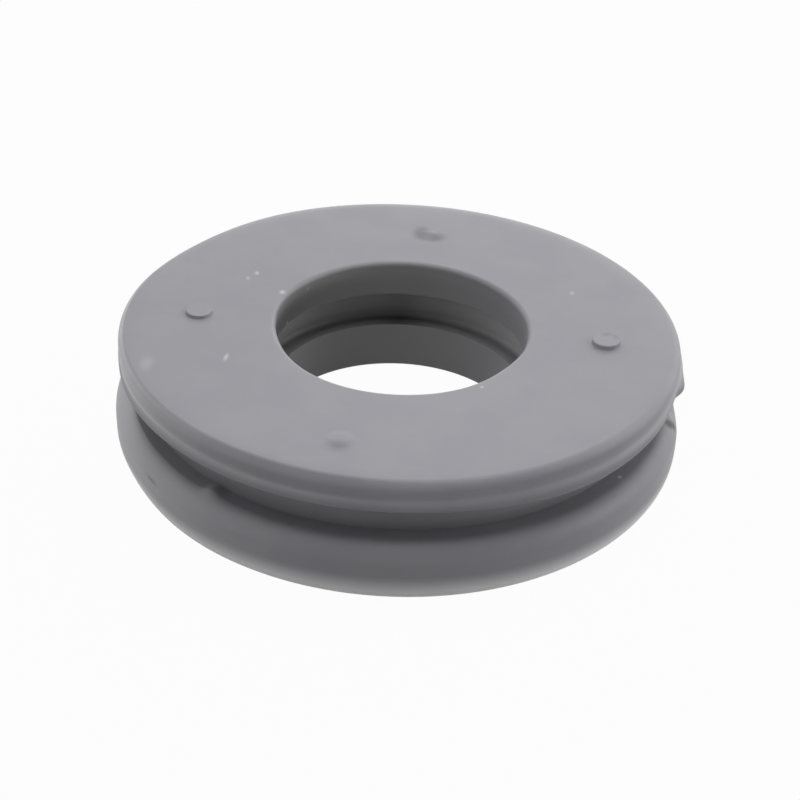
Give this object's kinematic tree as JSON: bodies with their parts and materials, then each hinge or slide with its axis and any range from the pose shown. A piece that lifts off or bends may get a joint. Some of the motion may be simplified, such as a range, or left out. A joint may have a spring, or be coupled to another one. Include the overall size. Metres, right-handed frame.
{
  "type": "spark plug hole seal",
  "caption": "Round moulded rubber seal with a top flange, a neck, a plump lower flange and a lipped bore, which closes the gap between a spark plug tube and its cover.",
  "frame": {"origin": "middle of the underside, on the bore's axis, where the lower flange rests", "axes": "+Z along the bore, from the lower flange to the top flange; -Y towards the picture's viewer"},
  "size_m": [0.049, 0.049, 0.0115],
  "materials": {
    "seal_rubber": "moulded satin, a little dusty"
  },
  "bodies": {
    "root": {"seal_ring": "seal_rubber"}
  },
  "joints": []
}
